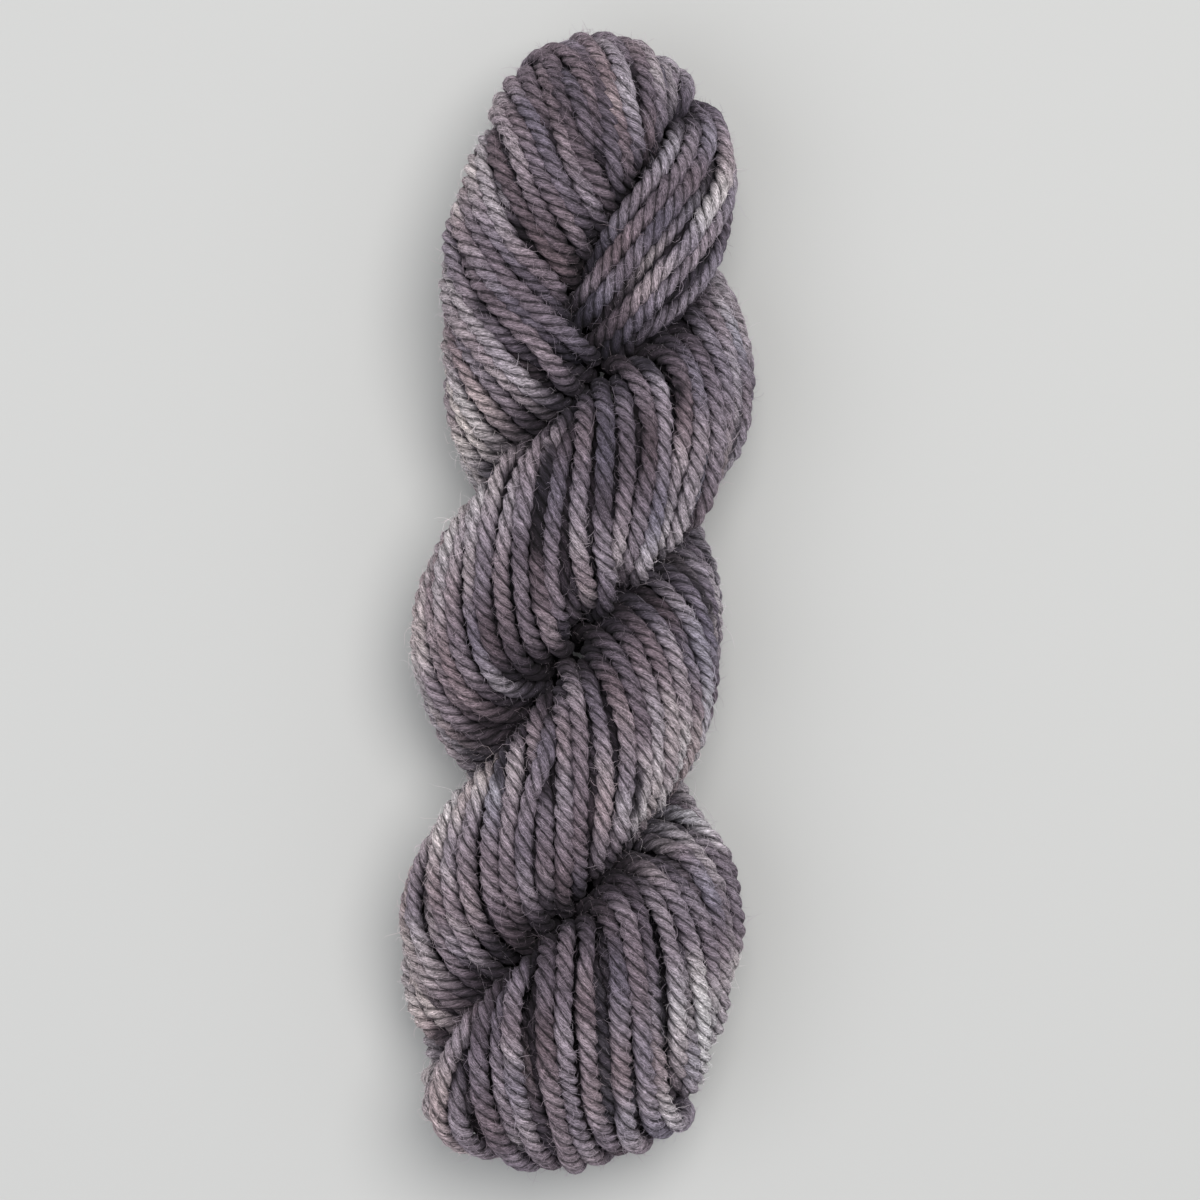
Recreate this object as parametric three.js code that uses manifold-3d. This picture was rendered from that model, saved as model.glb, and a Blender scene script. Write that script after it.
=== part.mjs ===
// Skein of three-ply rug yarn, lying on a table. Millimetres, +Z up, +Y from
// the folded end to the tucked end, origin at the middle of the box's underside.
//
// The hank is one loop of wound yarn. Twisted, folded in half and left to lay
// round itself, it is two thick bundles in a right-handed (Z) rope. They are
// one bundle at the fold. At the other end the "over" bundle comes up the
// front and rolls over the top, and the "tuck" bundle comes up behind, round
// the right-hand side and in under the over bundle.
import * as THREE from "three";
import { mergeVertices } from "three/addons/utils/BufferGeometryUtils.js";
import Module from "manifold-3d";

const SIDES = 28;          // facets round a bundle
const STEP = 4.2;          // spacing of a bundle's sections along it
const SETTLE = 0.80;       // height of the lying rope over its free height
const CORE_Z = 27.6;       // height of the rope's middle line
const INNER_LIMIT = 1.03;  // a bundle's inner half depth over its distance, at most
const INNER_FOLD = 0.75;   // the same where it turns round the fold
const INNER_ROLL = 0.85;   // and where it rolls over the top
const FOLD_Y = -93;        // centre of the bottom U-turn
const ROLL_Y = 93;         // centre of the roll over the top

// The rope's middle line: sideways place against y.
const CORE = [
  { y: -125, x: -8.5 },
  { y: -104, x: -7.0 },
  { y: -72, x: -2.6 },
  { y: -40, x: -0.6 },
  { y: -9, x: -2.0 },
  { y: 22, x: 2.9 },
  { y: 49, x: 5.1 },
  { y: 78, x: 2.2 },
  { y: 100, x: 4.6 },
  { y: 126, x: 9.0 },
];

// One row per station of a bundle. "out" is its distance from the middle line
// and "turn" its place round it in degrees, 0 at the front (+Z) and 90 at the
// right (+X). "wide" and "deep" are its half sizes across and away from the
// middle line. Rows beyond the fold or the roll turn about those centres
// instead, "over" being the degrees gone round the end.
const TUCK = [
  { name: "fold, lowest", y: FOLD_Y, over: 90, out: 14.5, turn: 6, wide: 25.5, deep: 17.5 },
  { name: "fold, front", y: FOLD_Y, over: 34, out: 15.5, turn: 14, wide: 34.0, deep: 18.8 },
  { name: "right, low", y: -77, over: 0, out: 17.8, turn: 74, wide: 28, deep: 22 },
  { name: "behind, low", y: -40, over: 0, out: 17.0, turn: 180, wide: 19, deep: 18.5 },
  { name: "left, middle", y: -9, over: 0, out: 16.8, turn: 270, wide: 21.5, deep: 18.9 },
  { name: "front, middle", y: 22, over: 0, out: 17.2, turn: 360, wide: 22.5, deep: 18.5 },
  { name: "right, upper", y: 49, over: 0, out: 17.0, turn: 450, wide: 19, deep: 18.6 },
  { name: "behind, upper", y: 75, over: 0, out: 17.0, turn: 528, wide: 18.5, deep: 18.6 },
  { name: "behind, end", y: 95, over: 0, out: 15.5, turn: 540, wide: 18, deep: 16.5 },
];
const OVER = [
  { name: "fold, lowest", y: FOLD_Y, over: 90, out: 14.5, turn: 186, wide: 25.5, deep: 17.5 },
  { name: "fold, behind", y: FOLD_Y, over: 34, out: 15.5, turn: 196, wide: 27, deep: 18.0 },
  { name: "left, low", y: -72, over: 0, out: 18.2, turn: 263, wide: 21, deep: 19.6 },
  { name: "front, low", y: -40, over: 0, out: 17.0, turn: 360, wide: 19, deep: 18.5 },
  { name: "right, middle", y: -9, over: 0, out: 16.6, turn: 450, wide: 20, deep: 18.3 },
  { name: "behind, middle", y: 22, over: 0, out: 17.0, turn: 540, wide: 20, deep: 18.5 },
  { name: "left, upper", y: 49, over: 0, out: 16.2, turn: 634, wide: 20, deep: 18.8 },
  { name: "left, spreading", y: 60, over: 0, out: 14.5, turn: 656, wide: 25, deep: 21.5 },
  { name: "front left, upper", y: 72, over: 0, out: 16.8, turn: 668, wide: 20.5, deep: 19.8 },
  { name: "front, top", y: ROLL_Y, over: 8, out: 16.8, turn: 694, wide: 20.5, deep: 18.0 },
  { name: "top, rolling", y: ROLL_Y, over: 88, out: 15.2, turn: 742, wide: 23.5, deep: 17.2 },
  { name: "top, behind", y: ROLL_Y, over: 150, out: 14.5, turn: 736, wide: 19, deep: 14.0 },
];
// The tucked end's own curl, in plain places, from behind the top right, round
// the right-hand side and down in under the over bundle.
const CURL = [
  { name: "behind", x: 8.5, y: 93, z: -13.5, wide: 16, deep: 15, inner: 13.5 },
  { name: "top right", x: 15.5, y: 103, z: -6, wide: 13, deep: 13.5, inner: 12.2 },
  { name: "right, rising", x: 21.5, y: 98, z: 3, wide: 12.5, deep: 13, inner: 11.7 },
  { name: "right", x: 22.2, y: 90, z: 10, wide: 13.5, deep: 12.5, inner: 11.3 },
  { name: "front right", x: 20, y: 82.4, z: 14.5, wide: 15, deep: 12, inner: 10.8 },
  { name: "front", x: 15.5, y: 75.5, z: 16, wide: 15.5, deep: 12, inner: 10.8 },
  { name: "against the roll", x: 11, y: 69.5, z: 14.5, wide: 15, deep: 11.5, inner: 10.4 },
  { name: "going under", x: 7, y: 64.5, z: 10.5, wide: 13.5, deep: 11.5, inner: 10.4 },
  { name: "under", x: 3.5, y: 60.5, z: 3, wide: 12.5, deep: 11.5, inner: 10.4 },
  { name: "tucked", x: 0.5, y: 57, z: -5, wide: 11, deep: 12, inner: 10.8 },
];
// The inside of the rope, where the bundles press together.
const HEART = [
  { name: "in the fold", x: -3.4, y: -96, z: 0, wide: 16, deep: 10, inner: 10 },
  { name: "low", x: -1.6, y: -56, z: 0, wide: 9, deep: 9, inner: 9 },
  { name: "middle", x: 0.4, y: 6, z: 0, wide: 9, deep: 9, inner: 9 },
  { name: "upper", x: 4.0, y: 60, z: 0, wide: 10, deep: 9, inner: 9 },
  { name: "in the roll", x: 4.6, y: 98, z: 0, wide: 14, deep: 9, inner: 9 },
];

// Smooth value at t (in rows) through a column of evenly counted rows.
function smooth(values, t) {
  const n = values.length;
  const i = Math.min(Math.max(Math.floor(t), 0), n - 2);
  const f = t - i;
  const at = (k) => values[Math.min(Math.max(k, 0), n - 1)];
  const m0 = (at(i + 1) - at(i - 1)) / (i > 0 ? 2 : 1);
  const m1 = (at(i + 2) - at(i)) / (i < n - 2 ? 2 : 1);
  const f2 = f * f;
  const f3 = f2 * f;
  return (2 * f3 - 3 * f2 + 1) * at(i) + (f3 - 2 * f2 + f) * m0
    + (3 * f2 - 2 * f3) * at(i + 1) + (f3 - f2) * m1;
}

function coreX(y) {
  let i = 0;
  while (i < CORE.length - 2 && CORE[i + 1].y < y) i += 1;
  const t = i + Math.min(Math.max((y - CORE[i].y) / (CORE[i + 1].y - CORE[i].y), 0), 1);
  return smooth(CORE.map((row) => row.x), t);
}

// Stations of a bundle that follows the rope: place and middle-line place,
// with z counted from the middle line before settling.
function ropeStations(rows, endSign) {
  const column = (name) => rows.map((row) => row[name]);
  const stations = [];
  const count = (rows.length - 1) * 10;
  for (let k = 0; k <= count; k += 1) {
    const t = k / 10;
    const y0 = smooth(column("y"), t);
    const over = THREE.MathUtils.degToRad(smooth(column("over"), t));
    const turn = THREE.MathUtils.degToRad(smooth(column("turn"), t));
    const out = smooth(column("out"), t);
    const sign = y0 < 0 ? -1 : 1;
    const y = y0 + sign * endSign * out * Math.sin(over);
    const x = coreX(y0);
    const deep = smooth(column("deep"), t);
    const tight = y0 < 0 ? INNER_FOLD : INNER_ROLL;
    stations.push({
      place: new THREE.Vector3(
        x + out * Math.sin(turn), y, out * Math.cos(turn) * Math.cos(over)),
      core: new THREE.Vector3(x, y0, 0),
      wide: smooth(column("wide"), t),
      deep,
      inner: THREE.MathUtils.lerp(Math.min(deep, INNER_LIMIT * out),
        Math.min(deep, tight * out), Math.min(1, 2 * Math.sin(over))),
    });
  }
  return stations;
}

// Stations of a bundle given in plain places, curling about one centre.
function plainStations(rows, centre) {
  const column = (name) => rows.map((row) => row[name]);
  const stations = [];
  const count = (rows.length - 1) * 8;
  for (let k = 0; k <= count; k += 1) {
    const t = k / 8;
    stations.push({
      place: new THREE.Vector3(
        smooth(column("x"), t), smooth(column("y"), t), smooth(column("z"), t)),
      core: centre,
      wide: smooth(column("wide"), t),
      deep: smooth(column("deep"), t),
      inner: smooth(column("inner"), t),
    });
  }
  return stations;
}

// Stations evenly spaced along the bundle.
function evenly(stations, step) {
  const along = [0];
  for (let k = 1; k < stations.length; k += 1) {
    along.push(along[k - 1] + stations[k].place.distanceTo(stations[k - 1].place));
  }
  const total = along[along.length - 1];
  const count = Math.max(4, Math.round(total / step));
  const out = [];
  let k = 0;
  for (let j = 0; j <= count; j += 1) {
    const s = (total * j) / count;
    while (k < stations.length - 2 && along[k + 1] < s) k += 1;
    const f = (s - along[k]) / (along[k + 1] - along[k]);
    const a = stations[k];
    const b = stations[k + 1];
    out.push({
      place: a.place.clone().lerp(b.place, f),
      core: a.core.clone().lerp(b.core, f),
      wide: a.wide + (b.wide - a.wide) * f,
      deep: a.deep + (b.deep - a.deep) * f,
      inner: a.inner + (b.inner - a.inner) * f,
    });
  }
  return out;
}

// A closed bundle with rounded ends, swept along its stations.
function bundle(stations) {
  const line = evenly(stations, STEP);
  const last = line.length - 1;
  const rings = [];
  line.forEach((here, k) => {
    const ahead = line[Math.min(k + 1, last)].place.clone()
      .sub(line[Math.max(k - 1, 0)].place).normalize();
    const away = here.place.clone().sub(here.core);
    away.addScaledVector(ahead, -away.dot(ahead)).normalize();
    const across = ahead.clone().cross(away);
    rings.push({ here, ahead, away, across, scale: 1, shift: 0 });
  });
  const first = rings[0];
  const final = rings[last];
  const caps = [0.92, 0.72, 0.42];
  const before = caps.map((c) => ({ ...first, scale: c, shift: -Math.sqrt(1 - c * c) })).reverse();
  const after = caps.map((c) => ({ ...final, scale: c, shift: Math.sqrt(1 - c * c) }));
  const all = [...before, ...rings, ...after];
  const positions = [];
  for (const ring of all) {
    const reach = 0.6 * ring.here.deep;
    for (let j = 0; j < SIDES; j += 1) {
      const a = (2 * Math.PI * j) / SIDES;
      const depth = Math.cos(a) > 0 ? ring.here.deep : ring.here.inner;
      const p = ring.here.place.clone()
        .addScaledVector(ring.ahead, ring.shift * reach)
        .addScaledVector(ring.away, Math.cos(a) * depth * ring.scale)
        .addScaledVector(ring.across, Math.sin(a) * ring.here.wide * ring.scale);
      positions.push(p.x, p.y, p.z * SETTLE + CORE_Z);
    }
  }
  const index = [];
  for (let k = 0; k < all.length - 1; k += 1) {
    for (let j = 0; j < SIDES; j += 1) {
      const a = k * SIDES + j;
      const b = k * SIDES + ((j + 1) % SIDES);
      index.push(a, b, a + SIDES, b, b + SIDES, a + SIDES);
    }
  }
  const ends = [[0, -1, 0], [all.length - 1, 1, (all.length - 1) * SIDES]];
  for (const [k, sign, offset] of ends) {
    const ring = all[k];
    const tip = ring.here.place.clone().addScaledVector(ring.ahead, sign * 0.6 * ring.here.deep);
    const centre = positions.length / 3;
    positions.push(tip.x, tip.y, tip.z * SETTLE + CORE_Z);
    for (let j = 0; j < SIDES; j += 1) {
      const a = offset + j;
      const b = offset + ((j + 1) % SIDES);
      if (sign < 0) index.push(centre, b, a);
      else index.push(centre, a, b);
    }
  }
  const geometry = new THREE.BufferGeometry();
  geometry.setAttribute("position", new THREE.Float32BufferAttribute(positions, 3));
  geometry.setIndex(index);
  return geometry;
}

const wasm = await Module();
wasm.setup();

function toSolid(geometry) {
  const bare = geometry.clone();
  bare.deleteAttribute("normal");
  bare.deleteAttribute("uv");
  const merged = mergeVertices(bare, 1e-4);
  return new wasm.Manifold(new wasm.Mesh({
    numProp: 3,
    vertProperties: new Float32Array(merged.attributes.position.array),
    triVerts: new Uint32Array(merged.index.array),
  }));
}

function toGeometry(solid) {
  const mesh = solid.getMesh();
  const geometry = new THREE.BufferGeometry();
  geometry.setAttribute("position", new THREE.Float32BufferAttribute(mesh.vertProperties, mesh.numProp));
  geometry.setIndex(Array.from(mesh.triVerts));
  return geometry;
}

// The outer shell alone: slivers left where two bends press together are shed.
function outerShell(geometry) {
  const index = geometry.index.array;
  const count = geometry.attributes.position.count;
  const root = Array.from({ length: count }, (_, i) => i);
  const find = (i) => {
    while (root[i] !== i) {
      root[i] = root[root[i]];
      i = root[i];
    }
    return i;
  };
  for (let k = 0; k < index.length; k += 3) {
    root[find(index[k])] = find(index[k + 1]);
    root[find(index[k + 1])] = find(index[k + 2]);
  }
  const size = new Map();
  for (let k = 0; k < index.length; k += 3) {
    const r = find(index[k]);
    size.set(r, (size.get(r) ?? 0) + 1);
  }
  const [largest] = [...size.entries()].sort((a, b) => b[1] - a[1])[0];
  const kept = [];
  for (let k = 0; k < index.length; k += 3) {
    if (find(index[k]) === largest) kept.push(index[k], index[k + 1], index[k + 2]);
  }
  const shell = new THREE.BufferGeometry();
  shell.setAttribute("position", geometry.attributes.position.clone());
  shell.setIndex(kept);
  return mergeVertices(shell, 1e-5);
}

function box(width, depth, height, x, y, z) {
  const geometry = new THREE.BoxGeometry(width, depth, height);
  geometry.translate(x, y, z);
  return geometry;
}

const curlCentre = new THREE.Vector3(5, 84, 0);
const farBelow = new THREE.Vector3(0, 0, -900);
const tuck = toSolid(bundle(ropeStations(TUCK, 1)));
const over = toSolid(bundle(ropeStations(OVER, 1)));
const curl = toSolid(bundle(plainStations(CURL, curlCentre)));

const heart = toSolid(bundle(plainStations(HEART, farBelow)));

// One soft body, lying flat where it rests.
let hank = tuck.add(over).add(curl).add(heart);
hank = hank.subtract(toSolid(box(200, 400, 60, 0, 0, -30)));

const geometry = outerShell(toGeometry(hank));
geometry.computeBoundingBox();
const { min, max } = geometry.boundingBox;
geometry.translate(-(min.x + max.x) / 2, -(min.y + max.y) / 2, -min.z);
geometry.computeVertexNormals();

const yarn = new THREE.MeshStandardMaterial({ color: 0x61595f, roughness: 0.95, metalness: 0 });
const skein = new THREE.Mesh(geometry, yarn);
skein.name = "skein";

const part = new THREE.Group();
part.name = "skein_of_rug_yarn";
part.add(skein);

export default part;
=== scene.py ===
# Looks for the skein of rug yarn: every length of yarn laid, settled and plied.
import math
import time

import bpy
import numpy as np
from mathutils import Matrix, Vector
from mathutils.bvhtree import BVHTree


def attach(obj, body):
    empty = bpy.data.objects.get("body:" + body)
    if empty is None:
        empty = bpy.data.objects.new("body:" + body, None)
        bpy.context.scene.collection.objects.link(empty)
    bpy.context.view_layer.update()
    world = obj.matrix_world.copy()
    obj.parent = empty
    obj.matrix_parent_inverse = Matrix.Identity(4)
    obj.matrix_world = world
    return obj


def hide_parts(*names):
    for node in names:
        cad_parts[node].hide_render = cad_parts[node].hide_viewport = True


START = time.time()
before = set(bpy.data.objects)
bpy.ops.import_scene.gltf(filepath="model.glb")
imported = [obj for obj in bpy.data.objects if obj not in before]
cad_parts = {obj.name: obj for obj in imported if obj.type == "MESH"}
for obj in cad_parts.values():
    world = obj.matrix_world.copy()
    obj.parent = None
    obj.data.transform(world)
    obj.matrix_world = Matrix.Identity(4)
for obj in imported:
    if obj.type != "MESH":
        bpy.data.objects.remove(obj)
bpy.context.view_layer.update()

# ---------------------------------------------------------------- the hank
# Sizes in millimetres, as in the solid: a rope of two bundles round one
# middle line, joined at the fold, one end rolled over and the other tucked.
SETTLE, CORE_Z, FOLD_Y, ROLL_Y = 0.80, 27.6, -93.0, 93.0
SHIFT = np.array([-0.19, -0.44, 0.0])
STEP = 2.4          # spacing of the points that settle
YARN_R = 2.08       # a yarn's outer radius
PRESSED = 4.02      # how near two yarns' middle lines come when pressed
RINGS = (1, 5, 10, 13, 16)   # lengths of yarn round a bundle's middle, ring by ring
LENGTHS = sum(RINGS)
CURLED = 27         # of those, the lengths in the tucked end
LAY = 0.079         # left-handed twist of a bundle, radians a millimetre
PLY_TURN = 11.0     # one turn of the three plies

#                 y     x
CORE = np.array([(-125, -8.5), (-104, -7.0), (-72, -2.6), (-40, -0.6), (-9, -2.0),
                 (22, 2.9), (49, 5.1), (78, 2.2), (100, 4.6), (126, 9.0)])
#        y      over  out   turn  wide  deep
TUCK = np.array([
    (FOLD_Y, 90, 14.5, 6, 30.5, 18.0),
    (FOLD_Y, 34, 15.5, 14, 36.0, 18.8),
    (-77.0, 0, 17.8, 74, 28.0, 22.0),
    (-40.0, 0, 17.0, 180, 19.0, 18.5),
    (-9.0, 0, 16.8, 270, 21.5, 18.9),
    (22.0, 0, 17.2, 360, 22.5, 18.5),
    (49.0, 0, 17.0, 450, 19.0, 18.6),
    (75.0, 0, 17.0, 528, 18.5, 18.6)])
OVER = np.array([
    (FOLD_Y, 90, 14.5, 186, 30.5, 18.0),
    (FOLD_Y, 34, 15.5, 196, 27.0, 18.0),
    (-72.0, 0, 18.2, 263, 21.0, 19.6),
    (-40.0, 0, 17.0, 360, 19.0, 18.5),
    (-9.0, 0, 16.6, 450, 20.0, 18.3),
    (22.0, 0, 17.0, 540, 20.0, 18.5),
    (49.0, 0, 16.2, 634, 20.0, 18.8),
    (60.0, 0, 14.5, 656, 25.0, 21.5),
    (72.0, 0, 16.8, 668, 20.5, 19.8),
    (ROLL_Y, 8, 16.8, 694, 20.5, 18.0),
    (ROLL_Y, 88, 15.2, 742, 23.5, 17.2),
    (ROLL_Y, 150, 14.5, 736, 19.0, 14.0)])
#        x     y     z     wide  deep
CURL = np.array([
    (8.5, 93.0, -13.5, 16.0, 15.0),
    (15.5, 103.0, -6.0, 13.0, 13.5),
    (21.5, 98.0, 3.0, 12.5, 13.0),
    (22.2, 90.0, 10.0, 13.5, 12.5),
    (20.0, 82.4, 14.5, 15.0, 12.0),
    (15.5, 75.5, 16.0, 15.5, 12.0),
    (11.0, 69.5, 14.5, 15.0, 11.5),
    (7.0, 64.5, 10.5, 13.5, 11.5),
    (3.5, 60.5, 3.0, 12.5, 11.5),
    (0.5, 57.0, -5.0, 11.0, 12.0)])
#                distance from the fold along the bundle, and its lay there
LAY_ALONG = np.array([(-400, -0.3), (-250, 0.0), (-222, 0.9), (-200, 1.0), (-60, 1.0), (-32, 1.1), (-5, 0.6),
                      (20, 1.0), (200, 1.0), (230, 1.15), (250, 1.45), (290, 1.6), (400, 1.6)])


def smooth(values, t):
    v = np.asarray(values, float)
    n = len(v)
    t = np.asarray(t, float)
    i = np.clip(np.floor(t).astype(int), 0, n - 2)
    f = t - i

    def at(k):
        return v[np.clip(k, 0, n - 1)]

    m0 = (at(i + 1) - at(i - 1)) / np.where(i > 0, 2, 1)
    m1 = (at(i + 2) - at(i)) / np.where(i < n - 2, 2, 1)
    f2 = f * f
    f3 = f2 * f
    return ((2 * f3 - 3 * f2 + 1) * at(i) + (f3 - 2 * f2 + f) * m0
            + (3 * f2 - 2 * f3) * at(i + 1) + (f3 - f2) * m1)


def core_x(y):
    i = np.clip(np.searchsorted(CORE[:, 0], y, side="right") - 1, 0, len(CORE) - 2)
    t = i + np.clip((y - CORE[i, 0]) / (CORE[i + 1, 0] - CORE[i, 0]), 0, 1)
    return smooth(CORE[:, 1], t)


def rope(rows, per=24):
    t = np.linspace(0, len(rows) - 1, (len(rows) - 1) * per + 1)
    y0, over, out, turn, wide, deep = (smooth(rows[:, k], t) for k in range(6))
    over, turn = np.radians(over), np.radians(turn)
    x = core_x(y0)
    sign = np.where(y0 < 0, -1, 1)
    place = np.stack([x + out * np.sin(turn), y0 + sign * out * np.sin(over),
                      out * np.cos(turn) * np.cos(over)], 1)
    core = np.stack([x, y0, 0 * x], 1)
    k = np.minimum(1, 2 * np.sin(over))
    tight = np.where(y0 < 0, 0.7, 0.8)        # how much of the inside of a bend is filled
    inner = np.minimum(deep, 1.03 * out) * (1 - k) + np.minimum(deep, tight * out) * k
    return place, core, wide, deep, inner


def gauss(a, sg):
    r = int(3 * sg + 1)
    k = np.exp(-0.5 * (np.arange(-r, r + 1) / sg) ** 2)
    k /= k.sum()
    pad = np.concatenate([np.repeat(a[:1], r, 0), a, np.repeat(a[-1:], r, 0)])
    if a.ndim == 1:
        return np.convolve(pad, k, "valid")
    return np.stack([np.convolve(pad[:, j], k, "valid") for j in range(a.shape[1])], 1)


def unit(a):
    return a / (np.linalg.norm(a, axis=1)[:, None] + 1e-12)


def build_path():
    tp, op = rope(TUCK), rope(OVER)
    t = np.linspace(0, len(CURL) - 1, (len(CURL) - 1) * 24 + 1)
    cp = np.stack([smooth(CURL[:, k], t) for k in range(3)], 1)
    full = np.concatenate([tp[0], cp])
    core = np.concatenate([tp[1], np.repeat(np.array([[5.0, 84.0, 0.0]]), len(cp), 0)])
    wide = np.concatenate([tp[2], smooth(CURL[:, 3], t)])
    deep = np.concatenate([tp[3], smooth(CURL[:, 4], t)])
    inner = np.concatenate([tp[4], 0.9 * smooth(CURL[:, 4], t)])
    columns = [np.concatenate([full[::-1], op[0][1:]]), np.concatenate([core[::-1], op[1][1:]]),
               np.concatenate([wide[::-1], op[2][1:]]), np.concatenate([deep[::-1], op[3][1:]]),
               np.concatenate([inner[::-1], op[4][1:]])]
    fold_pt, part_pt = full[0].copy(), tp[0][-1].copy()
    d = np.r_[0, np.cumsum(np.linalg.norm(np.diff(columns[0], axis=0), axis=1))]
    s = np.linspace(0, d[-1], int(round(d[-1] / STEP)) + 1)
    place, core, wide, deep, inner = [
        np.stack([np.interp(s, d, a[:, k]) for k in range(a.shape[1])], 1) if a.ndim == 2
        else np.interp(s, d, a) for a in columns]
    place, core = gauss(place, 2.0), gauss(core, 4.0)
    T = unit(np.gradient(place, axis=0))
    A = place - core
    A = unit(A - (A * T).sum(1)[:, None] * T)
    A = gauss(A, 2.0)
    A = unit(A - (A * T).sum(1)[:, None] * T)
    B = np.cross(T, A)
    phi = np.zeros(len(s))
    for k in range(1, len(s)):
        a = A[k - 1] - (A[k - 1] @ T[k]) * T[k]
        a /= np.linalg.norm(a)
        phi[k] = phi[k - 1] + np.arctan2(np.dot(np.cross(a, A[k]), T[k]), np.dot(a, A[k]))
    fold = int(np.argmin(((place - fold_pt) ** 2).sum(1)))
    part = int(np.argmin(((place - part_pt) ** 2).sum(1)))
    return dict(s=s, C=place, T=T, A=A, B=B, wide=wide, deep=deep, inner=inner, phi=phi,
                fold=fold, part=part)


def wander(rng, n, corr):
    v = rng.standard_normal(max(4, int(n / corr) + 4))
    return smooth(v, np.linspace(0, len(v) - 1.001, n))


def lay_out(path, rng):
    K = len(path["s"])
    places = []
    for ring, count in enumerate(RINGS):
        rad = ring / (len(RINGS) - 1)
        places += [(rad, 2 * math.pi * (k + 0.5 * (ring % 2)) / count) for k in range(count)]
    places = np.array(places)
    n = len(places)
    rr = np.clip(places[:, 0] + 0.02 * rng.standard_normal(n), 0, 1)
    aa = places[:, 1] + 0.05 * rng.standard_normal(n)
    s = path["s"]
    s0 = s[path["fold"]]
    rate = np.interp(s - s0, LAY_ALONG[:, 0], LAY_ALONG[:, 1]) * LAY
    tw = np.r_[0, np.cumsum(0.5 * (rate[1:] + rate[:-1]) * np.diff(s))]
    base = -(tw - np.interp(s0, s, tw) + path["phi"] - path["phi"][path["fold"]])
    U, V = np.zeros((n, K)), np.zeros((n, K))
    for i in range(n):
        r = np.clip(rr[i] + 0.07 * wander(rng, K, 34 / STEP), 0, 1.0)
        be = aa[i] + base + 0.13 * wander(rng, K, 40 / STEP) / max(rr[i], 0.3)
        U[i], V[i] = r * np.cos(be), r * np.sin(be)
    part = path["part"]
    wx = U[:, part] * path["A"][part, 0] + V[:, part] * path["B"][part, 0]
    wz = U[:, part] * path["A"][part, 2] + V[:, part] * path["B"][part, 2]
    goes = np.zeros(n, bool)
    goes[np.argsort(-(wx - 0.3 * wz))[:CURLED]] = True
    w = np.clip((part - np.arange(K)) * STEP / 22.0, 0, 1)
    w = w * w * (3 - 2 * w)
    um, vm = U[goes].mean(0), V[goes].mean(0)
    far = np.sqrt((U[goes] - um) ** 2 + (V[goes] - vm) ** 2).max(0) + 1e-6
    U = U * (1 - w) + (U - um) / far * w
    V = V * (1 - w) + (V - vm) / far * w
    starts = np.where(goes, 0, max(0, part - int(14 / STEP))) + rng.integers(0, 4, n)
    ends = K - rng.integers(0, 6, n)
    return U, V, starts, ends


BURIED = 11.0       # how much of the curled end lies out of sight, under the other bundle


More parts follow.
